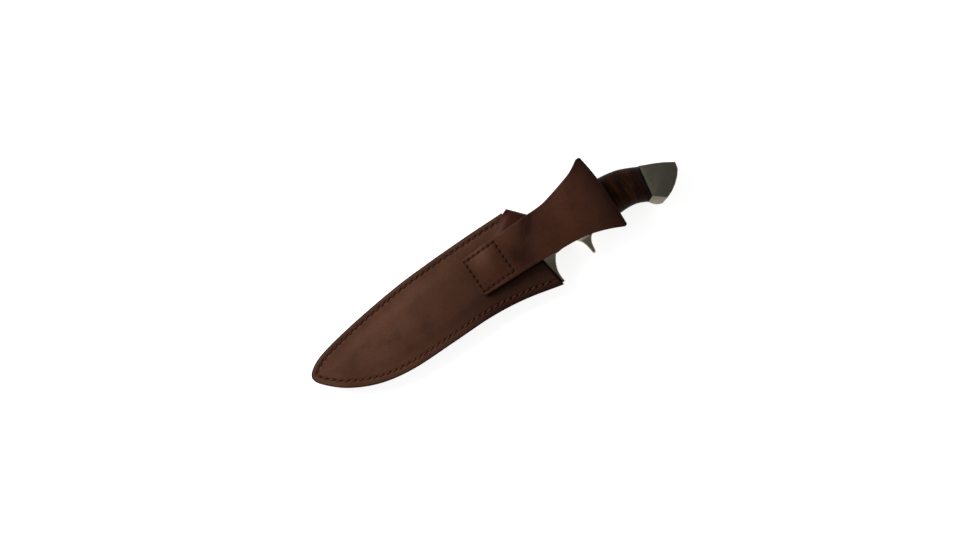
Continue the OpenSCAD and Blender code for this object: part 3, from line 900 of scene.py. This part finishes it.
def belt_loop():
    path = resample(loop_path(), LOOP_RINGS)
    outer, inner = LoopFace(path, 1).grids(), LoopFace(path, -1).grids()
    obj = strap_object("belt_loop_leather", outer, inner, STRAP_LEATHER, "sheath", "strap_leather")
    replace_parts(obj, "belt_loop")


belt_loop()


def box_top(x):
    """Level of the loop's outer face where it is sewn down."""
    level = np.interp(x, [-46, -33], [SEAT_Z, OVER_KEEPER_Z])
    return level + LEG_STEP + LOOP_T / 2 - 0.45


def box_stitching():
    """The square of stitches, each run stopping short of its holes."""
    short = 0.7
    runs = []
    for side in range(4):
        holes = BOX_HOLES[side * BOX_COUNT:(side + 1) * BOX_COUNT]
        way = (holes[1] - holes[0]) / BOX_PITCH
        for k, hole in enumerate(holes):
            a, b = hole + short * way, hole + (BOX_PITCH - short) * way
            start, end = np.append(a, box_top(a[0])), np.append(b, box_top(b[0]))
            runs.append(thread_run(start, end, (0, 0, 1), k + side, lift=0.2, radius=0.45))
    thread_object("box_thread", runs, DARK_THREAD, "dark_thread", "box_stitching", np.zeros(len(runs)))


box_stitching()


# ---- the keeper strap and its snap ----

KEEPER_DIR = np.array([math.cos(KEEPER_ANGLE), math.sin(KEEPER_ANGLE)])
KEEPER_SIDE = np.array([-KEEPER_DIR[1], KEEPER_DIR[0]])
KEEPER_MID = np.array(KEEPER_CORNER) - KEEPER_W / 2 * KEEPER_SIDE
SNAP_AT = KEEPER_MID - SNAP_REACH * KEEPER_DIR
ROOT_Z = PANEL_OUT + KEEPER_T / 2
LEG_Z = -(PANEL_OUT + 1 + KEEPER_T / 2)


def keeper_path():
    """The strap's middle as (distance along it in plan, z): root, over the edge, and leg."""
    turn_r = 2.2
    arcs = []
    for middle_z, first, last in ((ROOT_Z - turn_r, 90, 0), (LEG_Z + turn_r, 0, -90)):
        a = np.radians(np.linspace(first, last, 9))
        out = -KEEPER_T / 2 - turn_r + turn_r * np.cos(a)
        arcs.append(np.column_stack([out, middle_z + turn_r * np.sin(a)]))
    return np.vstack([[(-KEEPER_ROOT, ROOT_Z)], arcs[0], arcs[1], [(-KEEPER_LEG, LEG_Z)]])


def keeper_widths(path):
    """How far the strap reaches to its two sides: the leg has a round end and the root flares."""
    on_leg = path[:, 1] < LEG_Z + 0.4
    radius = KEEPER_W / 2
    into = np.where(on_leg, np.clip(-KEEPER_LEG + radius - path[:, 0], 0, radius - 0.05), 0)
    right = np.where(on_leg, np.sqrt(radius ** 2 - into ** 2), radius)
    flare = smooth(KEEPER_EDGE) - KEEPER_MID
    flare = np.column_stack([flare @ KEEPER_DIR, flare @ KEEPER_SIDE])[::-1]
    left = np.where(path[:, 1] > 0, np.interp(path[:, 0], flare[:, 0], flare[:, 1]), right)
    return left[:, None], right[:, None]


def keeper_face(path, side):
    """x, y, z, shade and pale over one face of the strap; side is 1 for its outer face."""
    left, right = keeper_widths(path)
    along, level = path[:, 0][:, None], path[:, 1][:, None]
    on_root = level > 0
    run = lengths(path)
    w = (left - right) / 2 + spread_across(KEEPER_HALF)[None] * (left + right) / 2
    rim = np.minimum(left - w, w + right)
    rim = np.minimum(rim, np.minimum(run, run[-1] - run)[:, None] + 0.1)
    skive = on_root * step(-along, 2, 8) * (1 - step(left - w, 0, 7))
    depth = KEEPER_T + (0.4 - KEEPER_T) * skive
    thick = side * (depth - KEEPER_T) / 2 + depth / 2 * rounded(rim, 1.0)
    normal = normals(path)
    u = along + side * thick * normal[:, 0][:, None]
    z = level + side * thick * normal[:, 1][:, None]
    x = KEEPER_MID[0] + u * KEEPER_DIR[0] + w * KEEPER_SIDE[0]
    y = KEEPER_MID[1] + u * KEEPER_DIR[1] + w * KEEPER_SIDE[1]
    leg_from = run[(path[:, 1] < LEG_Z + 0.4).argmax()]
    # Painted shade where the strap bends round the sheath's edge, and darker rims; pale lightens its root
    # towards the panel's colour.
    at_fold = bump(run, leg_from - 9, 9)[:, None]
    shade = 0.6 * (1 - step(rim, 0.1, 1.2)) * (1 - skive) + 0.55 * at_fold
    pale = on_root * step(-along, 4, 22) * (1 - step(left - w, 3, 16))
    return x, y, z, np.clip(shade, 0, 1), pale


def keeper():
    """The strap, from its root on the back panel round the sheath's edge to its leg under the front panel.
    """
    path = resample(keeper_path(), KEEPER_RINGS)
    obj = strap_object("keeper_leather", keeper_face(path, 1), keeper_face(path, -1), KEEPER_LEATHER,
                       None, None)
    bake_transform(obj)
    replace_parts(obj, "keeper_root", "keeper_strap")


keeper()


def snap_cap():
    """The domed cap, which touches the table."""
    face = LEG_Z - KEEPER_T / 2
    brim = face - 0.25
    dome = [
        (CAP_R * math.cos(a), brim + (TABLE_Z - brim) * math.sin(a)) for a in np.linspace(0.12, 1.52, 12)
    ]
    profile = [(0, face + 0.3), (6.2, face + 0.3), (CAP_R, brim), *dome, (0, TABLE_Z)]
    cap = lathe("snap_cap_dome", profile, SNAP_AT, SNAP_STEEL, "keeper", "snap_metal")
    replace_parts(cap, "snap_cap")


def snap_socket():
    inner = LEG_Z + KEEPER_T / 2
    ring = [(2.8, inner - 1.9), (2.8, inner + 0.1), (3.1, inner + 0.35), (5.0, inner + 0.35),
            (5.5, inner + 0.1), (5.5, inner - 0.05), (4.1, inner - 0.2), (4.1, inner - 2.1),
            (2.9, inner - 2.1), (2.8, inner - 1.9)]
    socket = lathe("snap_socket_ring", ring, SNAP_AT, SNAP_STEEL, "keeper", "snap_metal")
    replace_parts(socket, "snap_socket")


def snap_stud():
    """The stud, from its flange inside the front panel to its ball outside."""
    out = -PANEL_OUT
    post = [(0, -PANEL_IN - 0.05), (4.9, -PANEL_IN - 0.05), (4.9, -PANEL_IN - 0.45),
            (1.75, -PANEL_IN - 0.5), (1.75, out - 0.02), (4.7, out - 0.02), (5.0, out - 0.2),
            (4.6, out - 0.5), (2.4, out - 0.55), (2.1, out - 0.8), (2.45, out - 1.3),
            (2.45, out - 1.8), (2.1, out - 2.2), (1.4, out - 2.4), (0, out - 2.4)]
    stud = lathe("snap_stud_post", post, SNAP_AT, SNAP_STEEL, "sheath", "snap_metal")
    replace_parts(stud, "snap_stud")


snap_cap()
snap_socket()
snap_stud()


# ---- the knife ----

def blade_section(full, grind, false_edge):
    """Half of the blade's section as (place from edge -1 to spine 1, half-thickness)."""
    low_half = full * (1 - grind) + 0.12 * grind
    line_at = -0.96 + (0.96 - 0.08) * grind
    top_half = full * (0.82 - 0.5 * false_edge)
    shoulder = 0.97 - 0.35 * false_edge
    return [(-1, low_half * 0.5), (-0.985, low_half), (line_at, full * 0.99), (line_at + 0.03, full),
            (shoulder - 0.02, full), (shoulder, full * 0.98), (0.985, top_half + 0.05),
            (1, top_half * 0.8)]


def blade():
    """The blade with its bevels, false edge and rounded spine, from the slanted mouth to the point."""
    count = 150
    s = np.linspace(0, 5, count)
    spine, edge = curve_at(BLADE_SPINE, s), curve_at(BLADE_EDGE, s)
    slope = (SHEATH_KNOTS[-1][0] - SHEATH_KNOTS[0][0]) / (SHEATH_KNOTS[-1][1] - SHEATH_KNOTS[0][1])
    skew = slope * np.clip(1 - s, 0, 1)
    for line in (spine, edge):
        line[:, 0] += skew * line[:, 1]
    full = np.interp(s, [0, 3, 4.2, 5], [1, 1, 0.77, 0.2]) * BLADE_HALF
    grind = step(s, 0.22, 0.5)
    false_edge = step(s, 3.2, 3.8)
    rings = []
    for k in range(count):
        half = blade_section(full[k], grind[k], false_edge[k])
        section = half + [(v, -w) for v, w in half[::-1]]
        middle, reach = (spine[k] + edge[k]) / 2, (spine[k] - edge[k]) / 2
        rings.append([(*(middle + reach * v), w) for v, w in section])
    around = len(rings[0])
    obj = new_object("blade_ground", np.array(rings).reshape(-1, 3), tube_faces(count, around),
                     BLADE_STEEL, "knife", "blade_steel")
    shade_by_angle(obj, 12)
    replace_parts(obj, "blade")


def tang_bar():
    """The CAD blade from the mouth back: the bar in the guard, and the threaded end in the nut."""
    obj = cad_copy("blade", "tang", GUARD_STEEL)
    bm = bmesh.new()
    bm.from_mesh(obj.data)
    cut = row((2.0, 0, 0))[0]
    bmesh.ops.bisect_plane(bm, geom=bm.verts[:] + bm.edges[:] + bm.faces[:], plane_co=(cut, 0, 0),
                           plane_no=(-1, 0, 0), clear_outer=True)
    bmesh.ops.holes_fill(bm, edges=[e for e in bm.edges if e.is_boundary])
    bm.to_mesh(obj.data)
    bm.free()
    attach(obj, "knife")


blade()
tang_bar()


def grip_layer(name, node, start, end, material, slot, soft, swell=0.0):
    """One layer of the grip from start to end, its rim rounded over by soft at both faces."""
    around = 72
    core = 3.0
    a = np.linspace(0, 2 * math.pi, around, endpoint=False)
    oval = np.column_stack([np.sign(f) * np.abs(f) ** (2 / SECTION_POWER) for f in (np.cos(a), np.sin(a))])
    depth = end - start
    rim = min(0.45, depth * 0.3)
    stations = [(0, core), (0, soft), (rim * 0.3, soft * 0.45), (rim, 0), (depth / 2, -swell),
                (depth - rim, 0), (depth - rim * 0.3, soft * 0.45), (depth, soft), (depth, core)]
    rings, shades = [], []
    for along, drop in stations:
        s = np.interp(start + along, GRIP_MIDS, range(len(GRIP_MIDS)))
        low, high = curve_at(GRIP_BELLY, s)[0], curve_at(GRIP_SPINE, s)[0]
        middle, reach = (low + high) / 2, (high - low) / 2
        tall = np.linalg.norm(reach)
        rings += [(*(middle + reach / tall * v * (tall - drop)), w * (GRIP_HALF - drop)) for v, w in oval]
        # Darker into each joint, and painted shade along the grip's spine and belly rims.
        joint_shade = min(0.6, max(0.0, drop / soft * 0.5))
        shades += [joint_shade + 0.6 * float(step(abs(v), 0.75, 1)) for v in oval[:, 0]]
    obj = new_object(name, np.array(rings), tube_faces(len(stations), around), material, "knife", slot,
                     shades)
    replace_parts(obj, node)


def spacer(name, node, start, depth):
    grip_layer(name, node, start, start + depth, FIBRE, "spacer_fibre", 0.15)


def washers(nodes, start, end, tones):
    """Leather washers that fill the grip from start to end, each a little different."""
    slots = {n["node"]: n["material_slot"] for n in frame["record"]["subparts"]}
    pitch = (end - start) / len(nodes)
    for k, node in enumerate(nodes):
        near = start + k * pitch
        grip_layer(node + "_ring", node, near, near + pitch, WASHER_LEATHERS[tones[k]], slots[node],
                   0.1 + 0.06 * RNG.random(), 0.08 * RNG.random())


def grip():
    fore_start, fore_end, rear_start, rear_end = GRIP_MIDS[0], GRIP_MIDS[2], GRIP_MIDS[3], GRIP_MIDS[-1]
    spacer("guard_spacer_ring", "guard_spacer", fore_start, SPACER_T)
    spacer("front_spacer_ring", "subhilt_front_spacer", fore_end - SPACER_T, SPACER_T)
    spacer("rear_spacer_ring", "subhilt_rear_spacer", rear_start, SPACER_T)
    spacer("pommel_spacer_ring", "pommel_spacer", rear_end - END_SPACER_T, END_SPACER_T)
    fore_nodes = [f"fore_washer_{k + 1}" for k in range(FORE_COUNT)]
    washers(fore_nodes, fore_start + SPACER_T, fore_end - SPACER_T, [k * 3 % 4 for k in range(FORE_COUNT)])
    rear_nodes = [f"washer_{k + 1:02d}" for k in range(REAR_COUNT)]
    washers(rear_nodes, rear_start + SPACER_T, rear_end - END_SPACER_T, REAR_TONES)


grip()


def apply_modifiers(obj):
    bpy.context.view_layer.objects.active = obj
    for name in [m.name for m in obj.modifiers]:
        bpy.ops.object.modifier_apply(modifier=name)


def rounded_fitting(node, name, material):
    """A CAD fitting with its edges softened, as filed and polished steel is, and painted shade in the gap at
    the sheath's mouth.
    """
    obj = cad_copy(node, name, material)
    remesh = obj.modifiers.new("remesh", "REMESH")
    remesh.mode = "VOXEL"
    remesh.voxel_size = 0.45 * MM
    relax = obj.modifiers.new("relax", "SMOOTH")
    relax.factor = 0.5
    relax.iterations = 6
    apply_modifiers(obj)
    obj.data.shade_smooth()
    plan = np.array([v.co for v in obj.data.vertices])[:, :2] / MM - (MOUTH_X, 0)
    attribute = obj.data.attributes.new("shade", "FLOAT", "POINT")
    attribute.data.foreach_set("value", 0.95 * (1 - step(distance_to(plan, MOUTH), 0.5, 1.6)))
    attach(obj, "knife")
    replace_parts(obj, node)


rounded_fitting("guard", "guard_polished", GUARD_STEEL)
rounded_fitting("sub_hilt", "sub_hilt_polished", LIT_PRONG_STEEL)


def bevelled(node, name, material, width):
    """A CAD fitting with narrow bevels along its sharp edges."""
    obj = cad_copy(node, name, material)
    bm = bmesh.new()
    bm.from_mesh(obj.data)
    bmesh.ops.remove_doubles(bm, verts=bm.verts, dist=0.001 * MM)
    bmesh.ops.dissolve_limit(bm, angle_limit=math.radians(1), verts=bm.verts[:], edges=bm.edges[:])
    bm.to_mesh(obj.data)
    bm.free()
    bevel = obj.modifiers.new("bevel", "BEVEL")
    bevel.width = width * MM
    bevel.segments = 2
    bevel.limit_method = "ANGLE"
    bevel.angle_limit = math.radians(30)
    apply_modifiers(obj)
    shade_by_angle(obj, 24)
    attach(obj, "knife")
    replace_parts(obj, node)


bevelled("pommel", "pommel_ground", POMMEL_STEEL, 0.9)
bevelled("tang_nut", "tang_nut_turned", GUARD_STEEL, 0.3)
